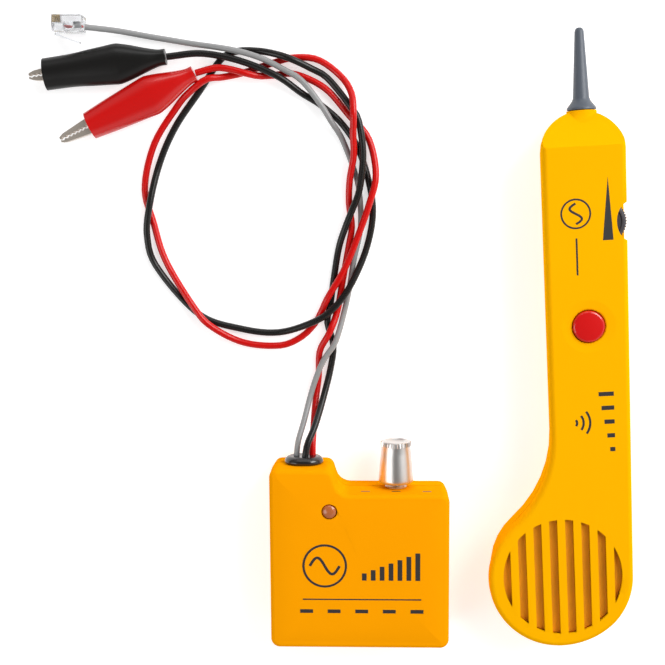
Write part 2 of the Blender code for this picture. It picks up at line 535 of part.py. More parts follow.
def build_probe():
    """The amplifier probe and everything in its case."""
    base = empty("probe_origin", (PROBE_AT[0], PROBE_AT[1], 0), PROBE_AT[2])
    back_profile = ((2.4, 0), (1.5, 0.4), (1.1, 1.2), (0.9, 2.4), (0, PROBE_PARTING - 0.15))
    front_profile = ((0, PROBE_PARTING + 0.15), (0.35, 20.6), (0.75, 22.4), (1.5, 23.8), (2.5, 24.7),
                     (3.8, PROBE_DEPTH))

    def cavity_outline(inset):
        return probe_outline(inset, 156.0)

    back = loft("probe_back_shell", probe_outline, back_profile, YELLOW, base)
    front = loft("probe_front_shell", probe_outline, front_profile, YELLOW, base)
    slope = box("nose_slope", (-10, 0, 0), (40, 30, 12), None, base, 0.0, (0, 173.8, PROBE_DEPTH),
                (-27, 0, 0))
    cut(front, slope)
    nose_low = (TIP_X, 172.8, PROBE_PARTING)
    nose_high = (TIP_X, 188.1, PROBE_PARTING)
    for shell, keep in ((back, (12.35, 40)), (front, (-20, 12.65))):
        join(shell, rod(f"{shell.name}_nose_boss", 5.9, nose_low, nose_high, None, base, 32))
        cut(shell, box(f"{shell.name}_parting", (-60, 150, keep[0]), (60, 215, keep[1]), None, base))
        cut(shell, rod(f"{shell.name}_stem_hole", 3.5, (TIP_X, 164, PROBE_PARTING),
                       (TIP_X, 200, PROBE_PARTING), None, base))
    cut(back, loft("probe_back_cavity", cavity_outline, ((2.4, 1.9), (1.6, 13.5)), None, base))
    cut(front, loft("probe_front_cavity", cavity_outline, ((1.6, 11.5), (2.3, 22.9)), None, base))
    screw_bosses("probe", PROBE_SCREWS, base, front, back, PROBE_PARTING, 23.4)
    case_screws("probe", PROBE_SCREWS, base, 0.5, 17.5)
    join(back, box("probe_thumb_recess", (HANDLE_X - 15.6, 28.0, 1.5), (HANDLE_X + 14.0, 37.0, 4.0), None,
                   base))
    sliding_door("probe", (HANDLE_X - 12.7, 36.0), (HANDLE_X + 12.7, 92.0), 0.6, 6.3, YELLOW, base, back)
    battery("probe", (HANDLE_X - 12.8, 40.0, 3.0), base, "Y")
    probe_tip(base)
    rod("pickup_antenna", 2.4, (TIP_X, 157, PROBE_PARTING), (TIP_X, 171.5, PROBE_PARTING), NICKEL, base)

    grille = rod("grille_disc", GRILLE_RADIUS, (*GRILLE_AT, 22), (*GRILLE_AT, 27), None, base, 36)
    for number in range(-3, 4):
        x = GRILLE_AT[0] + number * GRILLE_PITCH
        half = (GRILLE_PITCH - SLOT_WIDTH) / 2
        cut(grille, box(f"grille_bar_{number + 3}", (x - half, -30, 20), (x + half, 30, 29), None, base))
    cut(front, grille)
    speaker(base)

    button_x, button_y = BUTTON_AT
    cut(front, rod("button_dish", 8.6, (button_x, button_y, 23.8), (button_x, button_y, 25.4), None, base,
                   28, 11.6))
    cut(front, rod("button_hole", BUTTON_RADIUS + GAP, (button_x, button_y, 20), (button_x, button_y, 27),
                   None, base, 28))
    button = [(0, 25.6), (5.6, 25.6), (6.1, 25.4), (BUTTON_RADIUS, 24.9), (BUTTON_RADIUS, 22.0),
              (3.0, 22.0), (3.0, 17.6), (0, 17.6)]
    turned("power_button", button, BUTTON_RED, base, 28, (button_x, button_y, 0))
    box("button_switch", (button_x - 6, button_y - 6, 11.9), (button_x + 6, button_y + 6, 15.6), CHIP_BLACK,
        base, 0.4)
    box("probe_circuit_board", (HANDLE_X - 7.5, 93, 10.0), (HANDLE_X + 11, 154, 11.6), BOARD_GREEN, base)
    return base, front


def build_probe_controls(base, front):
    """The volume wheel at the case's edge and the parts on the circuit board."""
    wheel_x, wheel_y = WHEEL_AT
    ellipse = [(NOTCH_DEPTH * x, NOTCH_HALF * y) for x, y in arc(0, 0, 1.0, 0, 345, 23)]
    notch = plate("wheel_notch", ellipse, 16.4, 27.0, None, base, (HEAD_RADIUS + 0.7, wheel_y, 0))
    relief = box("wheel_relief", (22.7, wheel_y - 7.0, 16.4), (28.0, wheel_y + 7.0, 21.0), None, base)
    cut(front, notch, relief)
    wheel = [(0, 20.6), (WHEEL_RADIUS - 0.4, 20.6), (WHEEL_RADIUS, 20.2), (WHEEL_RADIUS, 17.4),
             (WHEEL_RADIUS - 0.4, 17.0), (1.5, 17.0), (1.5, 16.6), (0, 16.6)]
    turned("volume_wheel", wheel, WHEEL_GREY, base, 28, (wheel_x, wheel_y, 0))
    box("volume_control", (wheel_x - 5.5, wheel_y - 5.5, 11.9), (wheel_x + 3.5, wheel_y + 5.5, 16.3),
        CHIP_BLACK, base, 0.4)
    box("amplifier_chip", (HANDLE_X - 7, 122, 11.9), (HANDLE_X, 132, 15.0), CHIP_BLACK, base)
    rod("probe_capacitor", 3.5, (HANDLE_X - 5.5, 143, 11.9), (HANDLE_X - 5.5, 143, 20.5), CAPACITOR_BLUE,
        base)


def boot_section(size):
    """Oval section of a boot, half height along Y and half thickness along X."""
    high, thick = size
    angles = [2 * math.pi * i / 16 for i in range(16)]
    return [(thick * math.cos(a), high * math.sin(a)) for a in angles]


def boot(name, length, mouth, mat, parent):
    """Rubber sleeve of a clip, open at the mouth in front."""
    sections = BOOT_SECTIONS + ((length, mouth, 4.6),)
    outer = [((high, thick), x) for x, high, thick in sections]
    inner = [((high - BOOT_WALL, thick - BOOT_WALL), x) for x, high, thick in sections[1:]]
    inner.append(((mouth - BOOT_WALL, 4.6 - BOOT_WALL), length + 2))
    forward = (0, 90, 0)
    sleeve = loft(name, boot_section, outer, mat, parent, (0, 0, 0), forward)
    cut(sleeve, loft(name + "_hollow", boot_section, inner, None, parent, (0, 0, 0), forward))


def jaw_outline(side):
    """One jaw from tip to tail on the +Y or -Y side of the pivot, with teeth along the bite."""
    points = [(-16.0, 3.4), (-4.0, 0.9), (3.2, GAP / 2 + 0.05)]
    x = 5.0
    while x < JAW_LENGTH - TOOTH:
        points += [(x, GAP / 2 + 0.05), (x + TOOTH / 2, 0.8)]
        x += TOOTH
    points += [(JAW_LENGTH, GAP / 2 + 0.05), (JAW_LENGTH, 1.1), (JAW_LENGTH - 2, 1.9), (6, 3.1),
               (0, 3.2), (-4, 2.8), (-16, 4.6)]
    return [(x, side * y) for x, y in points]


def jaw(name, side, parent):
    """A jaw with its ear: the fixed jaw's ear is the upper half, the moving jaw's the lower half."""
    blade = loft(name, jaw_outline, ((side, -JAW_HALF), (side, JAW_HALF)), NICKEL, parent)
    join(blade, rod(name + "_ear", 2.8, (0, 0, 0.1 - JAW_HALF), (0, 0, JAW_HALF - 0.1), None, parent, 24))
    half = (-3.0, GAP / 2) if side > 0 else (-GAP / 2, 3.0)
    cut(blade, box(name + "_lap", (-3.3, -5, half[0]), (3.3, 5, half[1]), None, parent))
    cut(blade, rod(name + "_hole", 1.3, (0, 0, -4), (0, 0, 4), None, parent, 20))
    return blade


def clip_spring(name, parent):
    """Torsion spring between the two tails: a leg, two and a half turns and a leg."""
    points = [(-15.0, 2.4, 0.9), (-12.0, 1.7, 0.9)]
    turns = 2.5
    steps = 20
    for i in range(steps + 1):
        angle = math.radians(90 - 360 * turns * i / steps)
        points.append((-9.2 + 1.1 * math.cos(angle), 1.1 * math.sin(angle), 0.9 - 1.8 * i / steps))
    points += [(-12.0, -1.7, -0.9), (-15.0, -2.4, -0.9)]
    wire(name, points, 0.3, STEEL, parent)


def build_clip(prefix, at, length, mouth, reach, mat):
    """A crocodile clip in its boot; reach is how far the jaws stand out of the mouth."""
    base = empty(f"{prefix}_clip_origin", at[:3], at[3])
    boot(f"{prefix}_clip_boot", length, mouth, mat, base)
    pivot = empty(f"{prefix}_clip_pivot_axis", (length + reach - JAW_LENGTH, 0, 0))
    pivot.parent = base
    jaw(f"{prefix}_clip_fixed_jaw", 1, pivot)
    jaw(f"{prefix}_clip_moving_jaw", -1, pivot)
    pin = [(0, 2.7), (1.7, 2.7), (1.7, 2.25), (1.0, 2.25), (1.0, -2.25), (1.7, -2.25), (1.7, -2.7), (0, -2.7)]
    turned(f"{prefix}_clip_pivot_pin", pin, STEEL, pivot, 16)
    clip_spring(f"{prefix}_clip_spring", pivot)


def build_plug():
    """Six-position line plug lying on its edge, with its latch and four gold contacts."""
    base = empty("plug_origin", PLUG_AT[:3], PLUG_AT[3])
    top = -4.6
    housing = box("plug_housing", (0, top, -PLUG_HALF_WIDTH), (PLUG_LENGTH, top + PLUG_HIGH, PLUG_HALF_WIDTH),
                  CLEAR, base)
    cut(housing, box("plug_mouth", (-1, -1.7, -3.4), (7.5, 1.2, 3.4), None, base))
    for number in range(4):
        z = (number - 1.5) * CONTACT_PITCH
        cut(housing, box(f"plug_slot_{number + 1}", (8.4, top - 1, z - 0.33), (12.5, top + 3.2, z + 0.33),
                         None, base))
        box(f"plug_contact_{number + 1}", (8.8, top + 0.4, z - 0.15), (11.8, top + 2.9, z + 0.15), GOLD, base)
    latch = [(11.6, 2.3), (11.6, 3.2), (8.0, 4.4), (4.5, 5.8), (1.6, 6.6), (1.6, 5.9), (4.5, 5.0), (8.0, 3.6),
             (10.4, 2.3)]
    hinge = empty("plug_latch_hinge", (11.4, 2.7, 0))
    hinge.parent = base
    plate("plug_latch", [(x - 11.4, y - 2.7) for x, y in latch], -1.6, 1.6, CLEAR, hinge)


build_generator()
build_probe_controls(*build_probe())
for lead, route, lead_radius, jacket in (("black_lead", BLACK_ROUTE, LEAD_RADIUS, BLACK_WIRE),
                                         ("red_lead", RED_ROUTE, LEAD_RADIUS, RED_WIRE),
                                         ("line_cord", LINE_ROUTE, LINE_RADIUS, GREY_CORD)):
    wire(lead, smooth_route(route, LEAD_STEP, lead_radius + 0.1), lead_radius, jacket, None)
build_clip("red", RED_CLIP_AT, 48.0, 5.7, 13.2, RED_RUBBER)
build_clip("black", BLACK_CLIP_AT, 50.0, 6.5, 6.2, BLACK_RUBBER)
build_plug()
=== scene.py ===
"""Tone probe kit on a pale table, seen from above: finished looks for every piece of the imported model.

Everything is in metres in the model's own frame: +Z up, the table at z = 0. The two tools lie on
their backs. The probe is turned a little about Z, so its own sections place their meshes with PROBE.
"""

import math

import bmesh
import bpy
from mathutils import Matrix, Vector


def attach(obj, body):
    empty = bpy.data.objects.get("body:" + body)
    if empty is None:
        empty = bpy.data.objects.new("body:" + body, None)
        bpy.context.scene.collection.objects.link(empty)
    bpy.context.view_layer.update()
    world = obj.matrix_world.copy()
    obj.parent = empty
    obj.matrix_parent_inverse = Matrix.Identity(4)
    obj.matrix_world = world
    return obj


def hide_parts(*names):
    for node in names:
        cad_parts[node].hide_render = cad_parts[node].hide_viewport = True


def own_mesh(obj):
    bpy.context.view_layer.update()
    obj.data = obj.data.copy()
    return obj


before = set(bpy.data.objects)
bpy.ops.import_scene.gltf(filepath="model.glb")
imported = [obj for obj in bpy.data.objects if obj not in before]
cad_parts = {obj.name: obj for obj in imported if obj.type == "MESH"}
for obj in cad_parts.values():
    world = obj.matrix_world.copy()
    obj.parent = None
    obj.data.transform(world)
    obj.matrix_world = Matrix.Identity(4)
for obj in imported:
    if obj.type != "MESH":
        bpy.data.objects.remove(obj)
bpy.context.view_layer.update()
scene = bpy.context.scene


# Camera: a normal lens above the table, turned a few degrees off straight down, far enough away to
# take in both tools and their leads.
camera_data = bpy.data.cameras.new("camera")
camera_data.lens = 62.0
camera_data.sensor_width = 36.0
camera_data.clip_start = 0.01
camera_data.clip_end = 10.0
camera = bpy.data.objects.new("camera", camera_data)
camera.location = (-0.03064, 0.06227, 0.476)
camera.rotation_euler = [math.radians(angle) for angle in (-7.1, 2.2, -0.4)]
scene.collection.objects.link(camera)
scene.camera = camera
scene.view_settings.view_transform = "Standard"


# Table: a plain white sweep, far wider than the view, so the tools keep only a soft contact shadow.
# It glows a little, as a backlit table does.
MM = 0.001


def finish_of(name, colour, roughness=0.4, metallic=0.0, grain=0.0, grain_size=0.4, drift=0.04, **extra):
    """A procedural finish in the object's own coordinates, with a slow drift of tone and a fine grain.

    Grain is the bump height in millimetres, grain_size the width of its specks and drift the spread of tone.
    """
    material = bpy.data.materials.new(name)
    material.use_nodes = True
    nodes = material.node_tree.nodes
    links = material.node_tree.links
    shader = nodes["Principled BSDF"]
    shader.inputs["Roughness"].default_value = roughness
    shader.inputs["Metallic"].default_value = metallic
    for socket, value in extra.items():
        shader.inputs[socket.replace("_", " ")].default_value = value
    where = nodes.new("ShaderNodeTexCoord")
    cloud = nodes.new("ShaderNodeTexNoise")
    cloud.inputs["Scale"].default_value = 60.0
    cloud.inputs["Detail"].default_value = 3.0
    links.new(where.outputs["Object"], cloud.inputs["Vector"])
    tone = nodes.new("ShaderNodeMapRange")
    tone.inputs["To Min"].default_value = 1.0 - drift
    tone.inputs["To Max"].default_value = 1.0 + drift
    links.new(cloud.outputs["Fac"], tone.inputs["Value"])
    tint = nodes.new("ShaderNodeVectorMath")
    tint.operation = "SCALE"
    tint.inputs[0].default_value = colour
    links.new(tone.outputs["Result"], tint.inputs["Scale"])
    links.new(tint.outputs["Vector"], shader.inputs["Base Color"])
    speck = nodes.new("ShaderNodeTexNoise")
    speck.inputs["Scale"].default_value = 1.0 / (grain_size * MM)
    speck.inputs["Detail"].default_value = 2.0
    links.new(where.outputs["Object"], speck.inputs["Vector"])
    polish = nodes.new("ShaderNodeMapRange")
    polish.inputs["To Min"].default_value = max(roughness - 0.05, 0.02)
    polish.inputs["To Max"].default_value = roughness + 0.05
    links.new(speck.outputs["Fac"], polish.inputs["Value"])
    links.new(polish.outputs["Result"], shader.inputs["Roughness"])
    if grain:
        bump = nodes.new("ShaderNodeBump")
        bump.inputs["Strength"].default_value = 0.5
        bump.inputs["Distance"].default_value = grain * MM
        links.new(speck.outputs["Fac"], bump.inputs["Height"])
        links.new(bump.outputs["Normal"], shader.inputs["Normal"])
    return material


floor_mesh = bpy.data.meshes.new("table")
floor_mesh.from_pydata([(-3, -3, 0), (3, -3, 0), (3, 3, 0), (-3, 3, 0)], [], [(0, 1, 2, 3)])
floor = bpy.data.objects.new("table", floor_mesh)
scene.collection.objects.link(floor)
floor_mesh.materials.append(finish_of("table_white", (0.7, 0.7, 0.7), 0.9, drift=0.0,
                                      Emission_Color=(1.0, 1.0, 1.0, 1.0), Emission_Strength=0.62))


# Studio walls: pale from the horizon to half way up, dark overhead so the faces keep their colour, and
# dimmer to the left than to the right.
world = bpy.data.worlds.new("studio")
world.use_nodes = True
sky_nodes = world.node_tree.nodes
sky_links = world.node_tree.links
direction = sky_nodes.new("ShaderNodeTexCoord")
parts = sky_nodes.new("ShaderNodeSeparateXYZ")
height = sky_nodes.new("ShaderNodeValToRGB")
height.color_ramp.elements[0].position = 0.0
height.color_ramp.elements[0].color = (0.5, 0.5, 0.5, 1.0)
height.color_ramp.elements[1].position = 1.0
height.color_ramp.elements[1].color = (0.2, 0.2, 0.2, 1.0)
for position, grey in ((0.35, 1.0), (0.62, 0.9), (0.86, 0.22)):
    stop = height.color_ramp.elements.new(position)
    stop.color = (grey, grey, grey, 1.0)
side = sky_nodes.new("ShaderNodeMapRange")
side.inputs["From Min"].default_value = -1.0
side.inputs["From Max"].default_value = 1.0
side.inputs["To Min"].default_value = 0.25
side.inputs["To Max"].default_value = 0.95
sky_links.new(direction.outputs["Generated"], parts.inputs["Vector"])
sky_links.new(parts.outputs["Z"], height.inputs["Fac"])
sky_links.new(parts.outputs["X"], side.inputs["Value"])
backdrop = sky_nodes["Background"]
sky_links.new(height.outputs["Color"], backdrop.inputs["Color"])
sky_links.new(side.outputs["Result"], backdrop.inputs["Strength"])
scene.world = world


# Lights: a large soft box up to the right, a weaker one low on the left and a strip behind the top,
# all aimed at the middle of the table.
def soft_box(name, at, size, power):
    """An area light aimed at the table's middle."""
    light = bpy.data.lights.new(name, "AREA")
    light.shape = "RECTANGLE"
    light.size = size[0]
    light.size_y = size[1]
    light.energy = power
    obj = bpy.data.objects.new(name, light)
    obj.location = at
    obj.rotation_euler = (Vector((0, 0, 0)) - Vector(at)).to_track_quat("-Z", "Y").to_euler()
    scene.collection.objects.link(obj)
    return obj


soft_box("key", (0.8, 0.6, 0.8), (0.7, 0.9), 13.0)
soft_box("fill", (-0.9, -0.3, 0.8), (0.7, 0.9), 5.0)
soft_box("strip", (0.1, 1.0, 0.6), (1.2, 0.3), 2.0)


# Leads: two insulated test wires and a thinner line cord, all from the generator's grommet. The wires
# make loose turns on the table, over and under each other, to their clips. The cord runs up past them
# to its plug.
BLACK_ROUTE = (
    (-60.4, -47.4, 16.0), (-59.4, -41.4, 15.4), (-56.4, -34.4, 12.0), (-53.2, -23.9, 5.5),
    (-50.0, -10.9, 1.6), (-49.0, -1.4, 1.5), (-51.4, 7.6, 1.5), (-50.0, 15.6, 1.5), (-48.6, 25.6, 1.5),
    (-46.4, 38.6, 1.6), (-43.6, 47.1, 3.8), (-40.8, 54.1, 4.8), (-37.8, 62.1, 4.8), (-36.2, 76.1, 4.8),
    (-37.7, 89.1, 4.8), (-40.6, 95.0, 4.3), (-50.3, 107.2, 1.5), (-57.3, 111.4, 2.2),
    (-64.8, 114.8, 4.8), (-71.3, 117.0, 4.2), (-78.8, 118.6, 1.6), (-87.3, 118.6, 1.5),
    (-94.0, 115.4, 1.5), (-102.8, 103.1, 1.5), (-113.2, 88.6, 1.5), (-120.2, 73.6, 1.6),
    (-124.2, 56.6, 4.7), (-125.8, 43.6, 3.4), (-122.2, 30.6, 1.5), (-105.3, 11.2, 1.5),
    (-87.8, 5.0, 1.5), (-71.8, 3.4, 1.6), (-57.2, 8.0, 4.6), (-49.0, 13.4, 5.1), (-41.7, 23.0, 4.5),
    (-34.6, 39.6, 1.6), (-32.4, 56.6, 1.5), (-37.2, 76.6, 1.5), (-44.2, 88.4, 1.5), (-53.2, 96.6, 1.5),
    (-61.2, 101.6, 1.8), (-70.8, 108.2, 4.6), (-85.8, 114.4, 4.8), (-101.3, 117.5, 4.7),
    (-115.55, 116.35, 4.9),
)
RED_ROUTE = (
    (-57.5, -47.4, 12.0), (-57.4, -40.9, 11.6), (-56.7, -27.9, 4.6), (-55.2, -14.9, 1.5),
    (-54.6, -4.4, 2.6), (-50.4, 3.6, 4.7), (-47.2, 12.4, 2.2), (-44.7, 26.1, 1.5), (-42.2, 39.6, 1.5),
    (-41.0, 47.6, 1.5), (-42.1, 57.1, 1.5), (-41.7, 66.6, 3.4), (-40.0, 76.1, 5.0), (-40.2, 84.6, 6.0),
    (-40.0, 92.9, 8.1), (-40.8, 101.1, 5.4), (-45.2, 108.2, 1.9), (-54.3, 114.8, 1.5),
    (-64.3, 115.8, 1.5), (-73.3, 113.6, 1.5), (-84.8, 110.0, 1.5), (-93.3, 108.2, 2.6),
    (-99.8, 107.2, 4.9), (-107.2, 102.0, 3.4), (-112.4, 96.6, 1.7), (-122.2, 81.6, 1.5),
    (-126.6, 63.6, 1.5), (-123.4, 49.6, 1.5), (-118.4, 33.1, 1.6), (-106.3, 13.6, 4.6),
    (-99.4, 6.0, 4.2), (-86.8, -0.8, 1.5), (-71.8, -2.2, 1.5), (-63.0, 1.0, 1.5), (-57.0, 6.6, 1.5),
    (-53.9, 12.0, 2.4), (-51.0, 18.2, 4.7), (-44.2, 29.6, 4.6), (-38.3, 43.8, 4.4), (-33.6, 57.1, 4.9),
    (-31.0, 68.6, 4.0), (-34.0, 83.1, 1.5), (-41.8, 92.4, 1.5), (-51.6, 103.4, 1.5),
    (-63.8, 109.2, 1.5), (-72.8, 108.8, 1.5), (-78.3, 108.5, 2.9), (-83.4, 109.4, 4.8),
    (-89.3, 111.0, 4.8), (-95.8, 111.8, 4.6), (-104.0, 109.75, 4.9),
)
LINE_ROUTE = (
    (-64.1, -47.4, 13.0), (-63.4, -40.9, 12.4), (-61.1, -32.9, 9.0), (-58.4, -22.4, 5.0),
    (-55.6, -13.9, 4.6), (-52.3, -6.9, 4.4), (-48.0, -0.4, 4.3), (-44.4, 11.6, 1.4), (-42.0, 22.6, 1.3),
    (-40.2, 33.6, 1.3), (-37.4, 46.6, 1.3), (-37.6, 58.6, 1.3), (-39.2, 68.1, 1.3), (-44.6, 82.6, 1.4),
    (-49.0, 89.8, 3.9), (-53.2, 96.6, 4.6), (-61.0, 106.4, 4.4), (-68.8, 111.2, 4.5),
    (-77.8, 115.6, 4.6), (-89.3, 118.9, 4.5), (-106.8, 122.0, 1.3), (-122.8, 124.8, 1.3),
    (-136.3, 127.2, 2.4), (-148.7, 128.5, 4.85),
)


def smooth_route(route, step, rest):
    """Even points on the smooth curve (Catmull-Rom) through a route's own points, never below rest."""
    points = [Vector(p) for p in route]
    ends = [points[0] * 2 - points[1]] + points + [points[-1] * 2 - points[-2]]
    fine = []
    for i in range(1, len(ends) - 2):
        before, here, there, after = ends[i - 1:i + 3]
        for j in range(12):
            t = j / 12
            fine.append(0.5 * (2 * here + (there - before) * t
                               + (2 * before - 5 * here + 4 * there - after) * t ** 2
                               + (3 * here - before - 3 * there + after) * t ** 3))
    fine.append(points[-1])
    length = [0.0]
    for a, b in zip(fine, fine[1:]):
        length.append(length[-1] + (b - a).length)
    count = round(length[-1] / step)
    result = []
    k = 0
    for i in range(count + 1):
        want = length[-1] * i / count
        while k < len(fine) - 2 and length[k + 1] < want:
            k += 1
        share = (want - length[k]) / max(length[k + 1] - length[k], 1e-9)
        point = fine[k].lerp(fine[k + 1], min(max(share, 0.0), 1.0))
        point.z = max(point.z, rest)
        result.append(point * MM)
    return result


def lead(name, route, radius, material):
    """A free lead as one open spline with its measured length, carried on the generator's body."""
    points = smooth_route(route, 2.5, radius + 0.1)
    curve = bpy.data.curves.new(name, "CURVE")
    curve.dimensions = "3D"
    curve.bevel_depth = radius * MM
    curve.bevel_resolution = 7
    curve.use_fill_caps = True
    spline = curve.splines.new("POLY")
    spline.points.add(len(points) - 1)
    for point, place in zip(spline.points, points):
        point.co = (*place, 1.0)
    spline.use_smooth = True
    obj = bpy.data.objects.new(name, curve)
    curve.materials.append(material)
    scene.collection.objects.link(obj)
    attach(obj, "generator")
    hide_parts(name.replace("jacket_", ""))
    return obj


black_wire = finish_of("black_wire_pvc", (0.01, 0.009, 0.0085), 0.28, grain=0.01, Specular_IOR_Level=0.35)
red_wire = finish_of("red_wire_pvc", (0.6, 0.003, 0.002), 0.26, grain=0.01, Specular_IOR_Level=0.35)
line_jacket = finish_of("line_cord_pvc", (0.3, 0.3, 0.3), 0.35, grain=0.01)


# Generator case: two moulded halves of orange gloss plastic, split across the end face and held by four
# screws from the back. The upper half is rounded over its edges and stepped down beside the leads.
GENERATOR = Matrix.Translation((-38.05, -86.6, 0.0))
UPRIGHT = Matrix.Rotation(math.radians(-90.0), 4, "X")


def arc(centre_x, centre_y, radius, start, end, steps):
    """Points on an arc, angles in degrees."""
    angles = [math.radians(start + (end - start) * i / steps) for i in range(steps + 1)]
    return [(centre_x + radius * math.cos(a), centre_y + radius * math.sin(a)) for a in angles]


def generator_outline(inset):
    """The case seen from the front at an inset from its side: block, S-shaped step and shoulder."""
    corner = max(3.4 - inset, 0.4)
    side = 36.4 - inset - corner
    high = 37.2 - inset - corner
    reach = math.hypot(10.2, 0.4)
    lean = math.degrees(math.atan2(-0.4, 10.2) + math.acos(9.6 / reach))
    points = arc(side, -high, corner, -90, 0, 12)
    points += arc(side, 27.2 - inset - corner, corner, 0, 90, 12)
    points += arc(-3.8, 33.0, 5.8 + inset, 270, 180 + lean, 14)
    points += arc(-14.0, 33.4, 3.8 - inset, lean, 90, 14)
    points += arc(-side, high, corner, 90, 180, 12)
    points += arc(-side, -high, corner, 180, 270, 12)
    return points


def generator_top(x, y, inset):
    """Height of the moulded face: a small round over its edge and a pillow that falls towards the sides."""
    pillow = 1.3 * min(abs(x) / 36.4, 1.0) ** 7 + 0.6 * min(abs(y) / 37.2, 1.0) ** 9
    lip = 1.7 * (1 - math.sqrt(1 - (1 - min(inset / 1.7, 1.0)) ** 2))
    return 28.3 - pillow - lip


def lofted(loops, caps=True):
    """A bmesh bridged through loops that all have the same number of points."""
    bm = bmesh.new()
    rings = [[bm.verts.new(point) for point in loop] for loop in loops]
    for a, b in zip(rings, rings[1:]):
        for i in range(len(a)):
            bm.faces.new((a[i - 1], a[i], b[i], b[i - 1]))
    if caps:
        bm.faces.new(rings[0])
        bm.faces.new(rings[-1])
    return bm


def turned(profile, steps=96):
    """A bmesh turned about Z from (radius, height) pairs, top to bottom."""
    bm = bmesh.new()
    rings = []
    for radius, height in profile:
        if radius < 1e-6:
            rings.append([bm.verts.new((0, 0, height))])
        else:
            rings.append([bm.verts.new((radius * math.cos(2 * math.pi * i / steps),
                                        radius * math.sin(2 * math.pi * i / steps), height))
                          for i in range(steps)])
    for a, b in zip(rings, rings[1:]):
        for i in range(steps):
            corners = [a[i % len(a)], a[(i + 1) % len(a)], b[(i + 1) % len(b)], b[i % len(b)]]
            bm.faces.new(list(dict.fromkeys(corners)))
    return bm


def piece_from(bm, name, material, place=None, crease=32.0, bevel=0.0, segments=3):
    """Link a bmesh as a piece; place is a matrix in millimetres and bevel rounds the sharp edges."""
    bmesh.ops.recalc_face_normals(bm, faces=bm.faces)
    if bevel:
        sharp = [edge for edge in bm.edges
                 if edge.is_manifold and edge.calc_face_angle(0.0) > math.radians(crease)]
        bmesh.ops.bevel(bm, geom=sharp, offset=bevel, segments=segments, profile=0.5, affect="EDGES",
                        clamp_overlap=True)
        bmesh.ops.recalc_face_normals(bm, faces=bm.faces)
    bmesh.ops.transform(bm, matrix=Matrix.Scale(MM, 4) @ (place or Matrix()), verts=bm.verts)
    mesh = bpy.data.meshes.new(name)
    bm.to_mesh(mesh)
    bm.free()
    mesh.shade_smooth()
    mesh.set_sharp_from_angle(angle=math.radians(crease))
    obj = bpy.data.objects.new(name, mesh)
    mesh.materials.append(material)
    scene.collection.objects.link(obj)
    return obj


def cut_with(target, tools, operation="DIFFERENCE"):
    """Apply an exact Boolean with each tool, then drop the tools."""
    for tool in tools:
        change = target.modifiers.new("cut", "BOOLEAN")
        change.operation = operation
        change.solver = "EXACT"
        change.object = tool
    bpy.context.view_layer.update()
    graph = bpy.context.evaluated_depsgraph_get()
    shaped = bpy.data.meshes.new_from_object(target.evaluated_get(graph))
    target.modifiers.clear()
    target.data = shaped
    for tool in tools:
        bpy.data.objects.remove(tool, do_unlink=True)
    return target


def even_shading(obj):
    """Let the large flat faces set the normals beside them, so cut faces shade flat."""
    obj.modifiers.new("weighted", "WEIGHTED_NORMAL").keep_sharp = True
    bpy.context.view_layer.update()
    graph = bpy.context.evaluated_depsgraph_get()
    shaped = bpy.data.meshes.new_from_object(obj.evaluated_get(graph))
    obj.modifiers.clear()
    obj.data = shaped


loops = [[(x, y, 12.15) for x, y in generator_outline(0.15)], [(x, y, 12.4) for x, y in generator_outline(0)]]
for step in range(16):
    inset = 3.35 * (step / 15) ** 1.7
    loops.append([(x, y, generator_top(x, y, inset)) for x, y in generator_outline(inset)])
for share in (0.98, 0.95, 0.91, 0.87, 0.82, 0.76, 0.68, 0.56, 0.4, 0.2, 0.06):
    loops.append([(x * share, y * share, generator_top(x * share, y * share, 3.4)) for x, y in
                  generator_outline(3.35)])
generator_orange = finish_of("generator_orange_gloss", (0.98, 0.355, 0.001), 0.24, grain=0.012,
                             grain_size=0.9, drift=0.02, Specular_IOR_Level=0.0)
generator_front = piece_from(lofted(loops), "generator_front_case", generator_orange, GENERATOR)
hollow = [[(x, y, z) for x, y in generator_outline(inset)] for inset, z in ((2.2, 11.0), (2.6, 25.6))]
tools = [piece_from(lofted(hollow), "hollow", generator_orange, GENERATOR)]
led_hole = turned([(0, 30), (3.2, 30), (3.2, 24), (0, 24)], 64)
LAMP = GENERATOR @ Matrix.Translation((-12.0, 20.4, 0))
tools.append(piece_from(led_hole, "led_hole", generator_orange, LAMP))
switch_hole = turned([(0, 2), (3.4, 2), (3.4, -4), (0, -4)], 48)
tools.append(piece_from(switch_hole, "switch_hole", generator_orange,
                        GENERATOR @ Matrix.Translation((15.0, 27.2, 14.0)) @ UPRIGHT))
LYING = Matrix.Translation((-22.85, 37.2, 14.0)) @ UPRIGHT


def oval_loop(width, height, z):
    """A flat-sided oval at a height."""
    radius = height / 2
    reach = width / 2 - radius
    ends = arc(reach, 0, radius, -90, 90, 20) + arc(-reach, 0, radius, 90, 270, 20)
    return [(x, y, z) for x, y in ends]


tools.append(piece_from(lofted([oval_loop(13.8, 10.8, -3.0), oval_loop(13.8, 10.8, 1.0)]), "grommet_hole",
                        generator_orange, GENERATOR @ LYING))
cut_with(generator_front, tools)
even_shading(generator_front)
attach(generator_front, "generator")
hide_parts("generator_front_shell")


